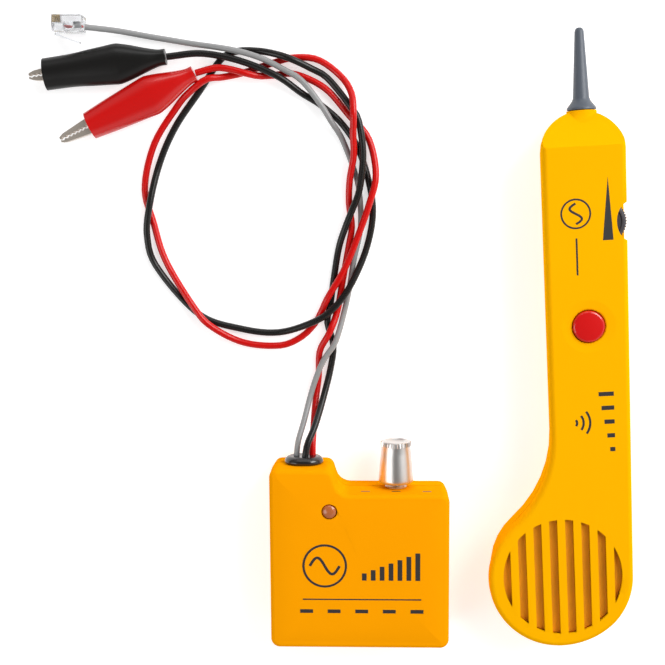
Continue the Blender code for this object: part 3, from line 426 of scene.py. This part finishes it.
# Lead grommet: a glossy black rubber oval in the end face, with a rounded flange that the three leads
# pass through side by side.
grommet_loops = [oval_loop(13.2, 10.2, -2.6), oval_loop(13.2, 10.2, 0.2), oval_loop(15.2, 12.2, 0.25),
                 oval_loop(15.8, 12.8, 0.6), oval_loop(15.9, 12.9, 1.2), oval_loop(15.5, 12.5, 1.9),
                 oval_loop(14.6, 11.6, 2.5), oval_loop(13.2, 10.2, 2.95), oval_loop(11.6, 8.6, 3.15),
                 oval_loop(9.6, 6.6, 3.0)]
grommet_rubber = finish_of("grommet_rubber", (0.012, 0.012, 0.012), 0.25, grain=0.01, Coat_Weight=0.4)
grommet = piece_from(lofted(grommet_loops), "grommet", grommet_rubber, GENERATOR @ LYING)
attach(grommet, "generator")
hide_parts("lead_grommet")


# Status lamp: a frosted amber lens of cast resin that stands a little proud of the face. Its stem runs
# down to the circuit board, which holds it.
lens_finish = finish_of("lamp_lens", (0.5, 0.13, 0.035), 0.25, grain=0.02, Coat_Weight=0.6,
                        Subsurface_Weight=0.15)
lens_profile = [(0, 28.9)]
lens_profile += [(2.9 * math.sin(math.radians(a)), 27.4 + 1.5 * math.cos(math.radians(a)))
                 for a in range(10, 91, 8)]
lens_profile += [(2.9, 21), (3.4, 21), (3.4, 19.8), (1.6, 19.8), (1.6, 6.9), (0, 6.9)]
lens = piece_from(turned(lens_profile, 64), "lamp_lens", lens_finish, LAMP)
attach(lens, "generator")
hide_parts("status_led")


# Toggle switch: a chromed brass bushing nut on the shoulder's end face, and the bat lever inside a
# flared cap of satin chrome whose top edge is serrated for the thumb.
def rib_tree():
    """A node tree that sets square ribs on edge round a circle; its named inputs hold the knurl's sizes."""
    tree = bpy.data.node_groups.new("ribs_round_axis", "GeometryNodeTree")
    face = tree.interface
    for label, kind in (("Count", "NodeSocketInt"), ("Radius", "NodeSocketFloat"),
                        ("Height", "NodeSocketFloat"), ("Rib", "NodeSocketVector"),
                        ("Finish", "NodeSocketMaterial")):
        face.new_socket(name=label, in_out="INPUT", socket_type=kind)
    face.new_socket(name="Geometry", in_out="OUTPUT", socket_type="NodeSocketGeometry")
    nodes = tree.nodes
    links = tree.links
    given = nodes.new("NodeGroupInput")
    ring = nodes.new("GeometryNodeMeshCircle")
    rib = nodes.new("GeometryNodeMeshCube")
    index = nodes.new("GeometryNodeInputIndex")
    angle = nodes.new("ShaderNodeMath")
    angle.operation = "DIVIDE"
    turn = nodes.new("ShaderNodeMath")
    turn.operation = "MULTIPLY_ADD"
    turn.inputs[1].default_value = 2 * math.pi
    turn.inputs[2].default_value = math.pi / 4
    spin = nodes.new("ShaderNodeCombineXYZ")
    place = nodes.new("GeometryNodeInstanceOnPoints")
    lift = nodes.new("GeometryNodeTransform")
    up = nodes.new("ShaderNodeCombineXYZ")
    real = nodes.new("GeometryNodeRealizeInstances")
    paint = nodes.new("GeometryNodeSetMaterial")
    out = nodes.new("NodeGroupOutput")
    links.new(given.outputs["Count"], ring.inputs["Vertices"])
    links.new(given.outputs["Radius"], ring.inputs["Radius"])
    links.new(given.outputs["Rib"], rib.inputs["Size"])
    links.new(index.outputs["Index"], angle.inputs[0])
    links.new(given.outputs["Count"], angle.inputs[1])
    links.new(angle.outputs[0], turn.inputs[0])
    links.new(turn.outputs[0], spin.inputs["Z"])
    links.new(ring.outputs["Mesh"], place.inputs["Points"])
    links.new(rib.outputs["Mesh"], place.inputs["Instance"])
    links.new(spin.outputs["Vector"], place.inputs["Rotation"])
    links.new(place.outputs["Instances"], lift.inputs["Geometry"])
    links.new(given.outputs["Height"], up.inputs["Z"])
    links.new(up.outputs["Vector"], lift.inputs["Translation"])
    links.new(lift.outputs["Geometry"], real.inputs["Geometry"])
    links.new(real.outputs["Geometry"], paint.inputs["Geometry"])
    links.new(given.outputs["Finish"], paint.inputs["Material"])
    links.new(paint.outputs["Geometry"], out.inputs["Geometry"])
    return tree


RIBS = rib_tree()


def add_ribs(obj, place, count, radius, height, rib, material):
    """Run the tree, set its ribs at place (millimetres) and weld the result into the piece's mesh."""
    host = bpy.data.objects.new("ribs", bpy.data.meshes.new("ribs"))
    scene.collection.objects.link(host)
    change = host.modifiers.new("ribs", "NODES")
    change.node_group = RIBS
    values = {"Count": count, "Radius": radius, "Height": height, "Rib": rib, "Finish": material}
    for item in RIBS.interface.items_tree:
        if item.in_out == "INPUT":
            change[item.identifier] = values[item.name]
    bpy.context.view_layer.update()
    graph = bpy.context.evaluated_depsgraph_get()
    mesh = bpy.data.meshes.new_from_object(host.evaluated_get(graph))
    bpy.data.objects.remove(host, do_unlink=True)
    mesh.transform(Matrix.Scale(MM, 4) @ place)
    bm = bmesh.new()
    bm.from_mesh(obj.data)
    for face in bm.faces:
        face.material_index = 0
    bm.from_mesh(mesh)
    bm.to_mesh(obj.data)
    bm.free()


SWITCH = GENERATOR @ Matrix.Translation((15.0, 27.2, 14.0)) @ UPRIGHT
chrome = finish_of("satin_chrome", (0.74, 0.72, 0.7), 0.36, 1.0, grain=0.02, grain_size=0.5, drift=0.03)
bushing_profile = [(2.0, 0.7), (4.2, 0.7), (4.4, 0.5), (4.4, 0.2), (3.0, 0.2), (3.0, -2.3), (2.0, -2.3),
                   (2.0, 0.7)]
bushing = piece_from(turned(bushing_profile), "bushing_nut", chrome, SWITCH)
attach(bushing, "generator")
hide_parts("toggle_bushing")
lever = piece_from(turned([(0, 15.0), (1.1, 15.0), (1.1, 1.2), (1.3, 0.6), (1.5, 0), (1.3, -0.9), (0.8, -1.6),
                           (0, -1.8)]), "bat_lever", chrome, SWITCH)
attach(lever, "toggle")
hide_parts("toggle_lever")
cap_profile = [(0, 18.6), (4.2, 18.6), (4.6, 18.9), (5.0, 19.4), (5.5, 19.4), (5.9, 19.0), (6.0, 17.6),
               (5.9, 17.2), (6.25, 14.0), (6.6, 10.0), (6.9, 6.0), (7.1, 3.6), (7.1, 2.8), (6.9, 2.4),
               (6.5, 2.15), (5.4, 1.9), (1.4, 1.9), (1.4, 15.4), (0, 15.4)]
cap = piece_from(turned(cap_profile), "toggle_grip", chrome, SWITCH)
add_ribs(cap, SWITCH, 30, 5.75, 18.3, (0.75, 0.75, 1.8), chrome)
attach(cap, "toggle")
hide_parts("toggle_cap")


# Printing on the generator: a wave sign in a ring with level bars under it on the face, and three short
# marks for the switch positions on the end face. Charcoal ink a few hundredths thick.
ink = finish_of("charcoal_ink", (0.025, 0.022, 0.02), 0.55, drift=0.02)


def ink_stroke(bm, points, width, low, high):
    """A stroke of ink along points, given in millimetres, between two heights."""
    sides = []
    for i, point in enumerate(points):
        ahead = points[min(i + 1, len(points) - 1)]
        behind = points[max(i - 1, 0)]
        run = Vector((ahead[0] - behind[0], ahead[1] - behind[1])).normalized()
        off = Vector((-run.y, run.x)) * width / 2
        sides.append(((point[0] + off.x, point[1] + off.y), (point[0] - off.x, point[1] - off.y)))
    rings = [[bm.verts.new(corner) for corner in ((*a, low), (*b, low), (*b, high), (*a, high))]
             for a, b in sides]
    for a, b in zip(rings, rings[1:]):
        for i in range(4):
            bm.faces.new((a[i - 1], a[i], b[i], b[i - 1]))
    bm.faces.new(rings[0])
    bm.faces.new(rings[-1])


FACE_INK = (28.22, 28.34)
print_bm = bmesh.new()
ring_points = arc(-14.0, -2.0, 8.6, 0, 359.9, 72)
ink_stroke(print_bm, ring_points, 0.9, *FACE_INK)
wave = [(-20.0 + 12.0 * i / 40, -2.0 + 3.4 * math.sin(2 * math.pi * i / 40)) for i in range(41)]
ink_stroke(print_bm, wave, 1.1, *FACE_INK)
for number in range(7):
    x = 2.0 + 3.6 * number
    ink_stroke(print_bm, [(x, -8.0), (x, -5.0 + 1.4 * number)], 1.9, *FACE_INK)
ink_stroke(print_bm, [(-23.0, -16.0), (25.0, -16.0)], 0.5, *FACE_INK)
for number in range(5):
    x = -21.5 + 11.2 * number
    ink_stroke(print_bm, [(x - 2.6, -21.0), (x + 2.6, -21.0)], 1.5, *FACE_INK)
face_print = piece_from(print_bm, "face_printing", ink, GENERATOR)
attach(face_print, "generator")
marks_bm = bmesh.new()
for x in (2.5, 15.0, 27.5):
    ink_stroke(marks_bm, [(x - 1.8, -21.5), (x + 1.8, -21.5)], 0.9, -0.1, 0.04)
end_marks = piece_from(marks_bm, "switch_marks", ink, GENERATOR @ Matrix.Translation((0, 27.17, 0)) @ UPRIGHT)
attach(end_marks, "generator")


# Probe case: two halves of yellow gloss plastic. The upper half carries the slotted speaker grille, the
# button's dish, a cut-out at its right edge for the volume wheel and a sloping nose with the tip's boss.
PROBE = Matrix.Translation((45.4, -95.8, 0.0)) @ Matrix.Rotation(math.radians(2.85), 4, "Z")


def probe_outline(inset, nose_y=172.4, head=(0.0, 0.0, 29.0)):
    """The case seen from the front: a round head off to one side of a straight handle."""
    head_x, head_y, head_radius = head
    fillet_x = 13.4 - 15.6 - 48.0
    fillet_y = head_y + math.sqrt((head_radius + 48.0) ** 2 - (fillet_x - head_x) ** 2)
    meet = math.degrees(math.atan2(fillet_y - head_y, fillet_x - head_x))
    points = arc(13.4, nose_y, 15.6 - inset, 0, 180, 56)
    points += arc(fillet_x, fillet_y, 48.0 + inset, 0, meet - 180, 24)
    points += arc(head_x, head_y, head_radius - inset, meet, 360, 110)[1:]
    return points


def probe_ring(inset, z):
    """The outline at a height: the side wall leans out to the left and in under the head as it rises."""
    rise = min(max((z - 12.65) / 8.0, 0.0), 1.0)
    ring = []
    for low, high in zip(probe_outline(inset), probe_outline(inset, head=(-0.9, 0.9, 28.4))):
        x = low[0] + (high[0] - low[0]) * rise
        y = low[1] + (high[1] - low[1]) * rise
        ring.append((x - 1.4 * rise * min(max((20.0 - x) / 20.0, 0.0), 1.0), y, z))
    return ring


def block(low, high):
    """A bmesh box between two corners."""
    bm = bmesh.new()
    bmesh.ops.create_cube(bm, size=1.0)
    bmesh.ops.scale(bm, vec=[high[i] - low[i] for i in range(3)], verts=bm.verts)
    bmesh.ops.translate(bm, vec=[(high[i] + low[i]) / 2 for i in range(3)], verts=bm.verts)
    return bm


probe_yellow = finish_of("probe_yellow_gloss", (0.99, 0.455, 0.001), 0.26, grain=0.012, grain_size=0.9,
                         drift=0.02, Specular_IOR_Level=0.0)
loops = [probe_ring(0.15, 12.65), probe_ring(0.0, 12.9), probe_ring(0.0, 16.5), probe_ring(0.0, 20.6)]
for step in range(15):
    inset = 2.2 * (step / 14) ** 1.6
    loops.append(probe_ring(inset, 25.0 - 2.2 * (1 - math.sqrt(1 - (1 - inset / 2.2) ** 2))))
probe_front = piece_from(lofted(loops), "probe_front_case", probe_yellow, PROBE, crease=26)
slope = piece_from(block((-10, 0, 0), (40, 30, 12)), "slope", probe_yellow,
                   PROBE @ Matrix.Translation((0, 173.8, 25.0)) @ Matrix.Rotation(math.radians(-35), 4, "X"))
cut_with(probe_front, [slope])
boss_profile = [(0, 188.1), (5.5, 188.1), (5.9, 187.7), (5.9, 172.8), (0, 172.8)]
TIP = PROBE @ Matrix.Translation((14.2, 0, 12.5)) @ UPRIGHT
boss = piece_from(turned(boss_profile), "boss", probe_yellow, TIP)
under = piece_from(block((-60, 150, -20), (60, 215, 12.65)), "under", probe_yellow, PROBE)
cut_with(boss, [under])
cut_with(probe_front, [boss], "UNION")
stem_profile = [(0, 200), (3.5, 200), (3.5, 164), (0, 164)]
stem_hole = piece_from(turned(stem_profile, 48), "stem_hole", probe_yellow, TIP)
cavity = [[(x, y, z) for x, y in probe_outline(inset, 156.0)] for inset, z in ((1.6, 11.5), (2.3, 22.9))]
cut_with(probe_front, [stem_hole, piece_from(lofted(cavity), "cavity", probe_yellow, PROBE)])
GRILLE = PROBE @ Matrix.Translation((-1.0, 2.0, 0))
grille = piece_from(turned([(0, 27), (23.9, 27), (23.9, 22), (0, 22)], 144), "grille", probe_yellow, GRILLE)
bars = [piece_from(block((-1.0 + 6.4 * n - 1.575, -30, 20), (-1.0 + 6.4 * n + 1.575, 32, 29)), f"bar_{n + 3}",
                   probe_yellow, PROBE) for n in range(-3, 4)]
cut_with(grille, bars)
BUTTON = PROBE @ Matrix.Translation((12.4, 103.6, 0))
dish_profile = [(0, 24.3)] + [(10.9 * share, 24.3 + 0.7 * share ** 2) for share in
                              [step / 12 for step in range(1, 13)]]
dish_profile += [(11.2, 25.03), (11.2, 27), (0, 27)]
dish = piece_from(turned(dish_profile, 128), "dish", probe_yellow, BUTTON)
hole_profile = [(0, 27), (6.6, 27), (6.6, 20), (0, 20)]
button_hole = piece_from(turned(hole_profile, 96), "button_hole", probe_yellow, BUTTON)
notch_loop = [(29.7 + 5.3 * x, 144.1 + 7.6 * y) for x, y in arc(0, 0, 1.0, 0, 354, 59)]
notch_loops = [[(x, y, z) for x, y in notch_loop] for z in (16.4, 27)]
notch = piece_from(lofted(notch_loops), "notch", probe_yellow, PROBE)
relief = piece_from(block((22.7, 137.1, 16.4), (28.0, 151.1, 21.0)), "relief", probe_yellow, PROBE)
cut_with(probe_front, [grille, dish, button_hole, notch, relief])
even_shading(probe_front)
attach(probe_front, "probe")
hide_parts("probe_front_shell")


# Dust cloth: a thin felt disc glued inside the case under the grille, in front of the speaker,
# to keep dust out of the cone. Its bright amber colour is painted bounce light: it stands in for the
# glow that the yellow slot walls throw into the slots, made brighter to outweigh the shade down there.
# Painted bounce light: the felt's amber stands in for light thrown off the yellow slot walls.
felt_painted_bounce = finish_of("grille_felt_painted_bounce", (1.0, 0.4, 0.005), 0.85, grain=0.06, grain_size=0.25, drift=0.2)
cloth_profile = [(0, 22.75), (25.0, 22.75), (25.0, 22.45), (0, 22.45)]
cloth = piece_from(turned(cloth_profile), "grille_cloth", felt_painted_bounce, GRILLE)
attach(cloth, "probe")


# Power button: a red gloss disc of moulded plastic with a small rounded edge, in the dish in the case.
# Its stem stands on the switch below.
button_red = finish_of("button_red_gloss", (0.66, 0.004, 0.004), 0.2, grain=0.01, Coat_Weight=0.5)
button_profile = [(0, 25.75), (5.3, 25.75), (5.8, 25.62), (6.15, 25.3), (6.3, 24.85), (6.3, 22.0),
                  (3.0, 22.0), (3.0, 17.6), (0, 17.6)]
button = piece_from(turned(button_profile), "push_button", button_red, BUTTON)
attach(button, "button")
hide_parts("power_button")


# Volume wheel: dark grey nylon with a fine knurl, showing in the cut-out at the case's right edge, and
# the printed wedge beside it that widens towards the louder end.
WHEEL = PROBE @ Matrix.Translation((20.9, 144.1, 0))
wheel_grey = finish_of("wheel_nylon", (0.05, 0.045, 0.055), 0.45, grain=0.02)
wheel_profile = [(0, 20.6), (5.6, 20.6), (5.75, 20.25), (6.3, 20.25), (6.45, 20.6), (7.2, 20.6), (7.7, 20.45),
                 (8.0, 20.1), (8.0, 17.5), (7.7, 17.15), (7.2, 17.0), (1.5, 17.0), (1.5, 16.6), (0, 16.6)]
wheel = piece_from(turned(wheel_profile), "thumb_wheel", wheel_grey, WHEEL)
add_ribs(wheel, WHEEL, 44, 8.02, 18.8, (0.62, 0.62, 2.6), wheel_grey)
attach(wheel, "wheel")
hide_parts("volume_wheel")
wedge_corners = ((21.3, 161.8), (18.8, 137.2), (22.9, 137.2))
wedge_bm = lofted([[(x, y, z) for x, y in wedge_corners] for z in (24.98, 25.03)])
wedge = piece_from(wedge_bm, "volume_wedge", ink, PROBE)
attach(wedge, "probe")


# Printing on the probe: a wave sign in a ring and a row of listening bars along the handle, in the same
# charcoal ink as the wedge, where a maker would put its own marks.
HANDLE_INK = (24.98, 25.04)
probe_print_bm = bmesh.new()
ink_stroke(probe_print_bm, arc(8.6, 148.0, 5.6, 0, 359.9, 72), 0.7, *HANDLE_INK)
upright_wave = [(8.6 + 2.3 * math.sin(2 * math.pi * i / 40), 144.0 + 8.0 * i / 40) for i in range(41)]
ink_stroke(probe_print_bm, upright_wave, 0.9, *HANDLE_INK)
ink_stroke(probe_print_bm, [(8.6, 124.0), (8.6, 138.5)], 0.7, *HANDLE_INK)
for number in range(5):
    y = 54.0 + 5.6 * number
    ink_stroke(probe_print_bm, [(19.4 - 1.0 * number, y), (21.4, y)], 1.7, *HANDLE_INK)
for number in range(3):
    ink_stroke(probe_print_bm, arc(4.6, 65.2, 2.0 + 2.6 * number, -38, 38, 16), 0.9, *HANDLE_INK)
probe_print = piece_from(probe_print_bm, "probe_printing", ink, PROBE)
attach(probe_print, "probe")


# Probe tip: slate-grey conductive plastic, moulded as a bell collar and a long cone. Its stem is pressed
# into the boss on the nose.
tip_finish = finish_of("tip_plastic", (0.085, 0.1, 0.125), 0.42, grain=0.015)
tip_profile = [(0, 31.9), (0.9, 31.75), (1.5, 31.2), (1.8, 30.3), (3.2, 4.6), (3.7, 3.4), (4.6, 2.2),
               (5.4, 1.2), (5.75, 0.6), (5.75, 0), (3.2, 0), (3.2, -9), (0, -9)]
tip = piece_from(turned(tip_profile), "conductive_tip", tip_finish,
                 PROBE @ Matrix.Translation((14.2, 188.4, 12.5)) @ UPRIGHT)
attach(tip, "probe")
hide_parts("probe_tip")


# Test clips: a nickel-plated crocodile clip inside a soft vinyl boot that is open at the mouth. The
# wire enters the boot's narrow neck and is crimped in the fixed jaw's tail.
def boot_loop(distance, high, thick, steps=48):
    """An oval section of a boot, standing across the clip's length."""
    return [(distance, high * math.cos(2 * math.pi * i / steps), thick * math.sin(2 * math.pi * i / steps))
            for i in range(steps)]


def clip_boot(name, place, length, mouth, material):
    """The sleeve: its outside from the neck to the mouth, then its inside back to the neck."""
    knots = [(0, 3.3, 3.2), (3, 3.4, 3.3), (8, 4.8, 4.1), (14, 6.8, 4.6), (18.5, 8.0, 4.8), (20.5, 8.2, 4.8),
             (23, 8.0, 4.8), (31, 7.35, 4.7), (39, 6.65, 4.6), (length, mouth, 4.6)]
    padded = [knots[0]] + knots + [knots[-1]]
    outer = []
    for i in range(1, len(padded) - 2):
        before, here, there, after = padded[i - 1:i + 3]
        for j in range(4):
            t = j / 4
            outer.append([0.5 * (2 * b + (c - a) * t + (2 * a - 5 * b + 4 * c - d) * t ** 2
                                 + (3 * b - a - 3 * c + d) * t ** 3)
                          for a, b, c, d in zip(before, here, there, after)])
    outer.append(list(knots[-1]))
    outer.insert(0, [-0.05, 2.6, 2.6])
    inner = [(x, high - 0.8, thick - 0.8) for x, high, thick in reversed(outer) if x > 6]
    return piece_from(lofted([boot_loop(*size) for size in outer + inner]), name, material, place, crease=60)


red_rubber = finish_of("red_boot_vinyl", (0.6, 0.003, 0.002), 0.22, Coat_Weight=0.5, Coat_Roughness=0.04)
black_rubber = finish_of("black_boot_vinyl", (0.008, 0.0075, 0.007), 0.3, grain=0.01, Specular_IOR_Level=0.35)
RED_TURN = 205.3
BLACK_TURN = 187.4
RED_CLIP = Matrix.Translation((-104.4, 109.6, 4.9)) @ Matrix.Rotation(math.radians(RED_TURN), 4, "Z")
BLACK_CLIP = Matrix.Translation((-116.0, 116.3, 4.9)) @ Matrix.Rotation(math.radians(BLACK_TURN), 4, "Z")
red_boot = clip_boot("red_boot", RED_CLIP, 48.0, 5.7, red_rubber)
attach(red_boot, "generator")
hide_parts("red_clip_boot")
black_boot = clip_boot("black_boot", BLACK_CLIP, 50.0, 6.5, black_rubber)
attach(black_boot, "generator")
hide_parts("black_clip_boot")


# Line plug: a clear six-way modular plug on its side, hollow at the back, with gold contacts in its
# slots and four red cores running up to them from the cord.
PLUG = Matrix.Translation((-149.1, 128.5, 4.85)) @ Matrix.Rotation(math.radians(180.0), 4, "Z")
clear = finish_of("clear_polycarbonate", (0.92, 0.93, 0.95), 0.05, drift=0.01, Transmission_Weight=0.92,
                  IOR=1.45)
housing = piece_from(block((0, -4.6, -4.8), (12, 2.0, 4.8)), "plug_body", clear, PLUG, bevel=0.35)
mouth = piece_from(block((-1, -1.7, -3.4), (7.5, 1.2, 3.4)), "mouth", clear, PLUG)
SLOT_PITCH = 1.02
slots = []
for number in range(4):
    z = (number - 1.5) * SLOT_PITCH
    slot = block((8.4, -5.6, z - 0.33), (12.5, -1.4, z + 0.33))
    slots.append(piece_from(slot, f"slot_{number}", clear, PLUG))
cut_with(housing, [mouth] + slots)
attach(housing, "generator")
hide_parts("plug_housing")
core_finish = finish_of("core_red", (0.5, 0.02, 0.015), 0.4)
cores_bm = bmesh.new()
for number in range(4):
    z = (number - 1.5) * 1.25
    swing = Matrix.Translation((3.9, -0.4, z)) @ Matrix.Rotation(math.radians(90), 4, "Y")
    bmesh.ops.create_cone(cores_bm, cap_ends=True, segments=20, radius1=0.42, radius2=0.42, depth=6.6,
                          matrix=swing)
cores = piece_from(cores_bm, "plug_cores", core_finish, PLUG)
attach(cores, "generator")


# Carried-over pieces: the lower case halves, doors, screws, jaws and everything inside keep their own
# shapes and take their real finishes.
zinc = finish_of("zinc_plate", (0.55, 0.56, 0.58), 0.32, 1.0, grain=0.02)
nickel = finish_of("nickel_plate", (0.6, 0.53, 0.46), 0.42, 1.0, grain=0.03, grain_size=0.6)
gold = finish_of("gold_flash", (0.95, 0.66, 0.22), 0.22, 1.0, grain=0.01)
paper = finish_of("cone_paper", (0.05, 0.042, 0.038), 0.85, grain=0.08, grain_size=0.3, drift=0.15)
board_green = finish_of("solder_mask", (0.015, 0.17, 0.06), 0.4, grain=0.03, grain_size=1.2, drift=0.25)
chip_black = finish_of("moulded_epoxy", (0.022, 0.022, 0.024), 0.55, grain=0.03, drift=0.1)
sleeve_blue = finish_of("capacitor_sleeve", (0.02, 0.05, 0.3), 0.3, grain=0.01)
jacket = finish_of("battery_jacket", (0.1, 0.1, 0.12), 0.35, 0.3, grain=0.02)
FINISHES = (
    (generator_orange, ("generator_back_shell", "generator_battery_door")),
    (probe_yellow, ("probe_back_shell", "probe_battery_door")),
    (zinc, ("speaker_basket", "speaker_magnet", "red_clip_pivot_pin", "black_clip_pivot_pin",
            "red_clip_spring", "black_clip_spring")),
    (zinc, [f"{case}_case_screw_{n}" for case in ("generator", "probe") for n in range(1, 5)]),
    (nickel, ("pickup_antenna", "red_clip_fixed_jaw", "red_clip_moving_jaw", "black_clip_fixed_jaw",
              "black_clip_moving_jaw")),
    (gold, [f"plug_contact_{n}" for n in range(1, 5)]),
    (clear, ("plug_latch",)),
    (paper, ("speaker_cone",)),
    (board_green, ("generator_circuit_board", "probe_circuit_board")),
    (chip_black, ("tone_oscillator_chip", "toggle_switch_body", "button_switch", "volume_control",
                  "amplifier_chip")),
    (grommet_rubber, ("generator_battery_snap", "probe_battery_snap")),
    (sleeve_blue, ("generator_capacitor", "probe_capacitor")),
    (jacket, ("generator_battery", "probe_battery")),
)
for material, names in FINISHES:
    for name in names:
        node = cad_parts[name]
        node.data.materials.clear()
        node.data.materials.append(material)


# Clip springs: plated steel wire round each pivot pin. Each spring gets a mesh of its own.
for colour, turn_of_clip, pivot in (("red", RED_TURN, RED_CLIP @ Vector((43.2, 0, 0))),
                                    ("black", BLACK_TURN, BLACK_CLIP @ Vector((38.2, 0, 0)))):
    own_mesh(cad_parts[f"{colour}_clip_spring"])


# Leads laid out last, each carried on the generator's body in place of the model's lead.
lead("jacket_black_lead", BLACK_ROUTE, 1.4, black_wire)
lead("jacket_red_lead", RED_ROUTE, 1.4, red_wire)
lead("jacket_line_cord", LINE_ROUTE, 1.2, line_jacket)
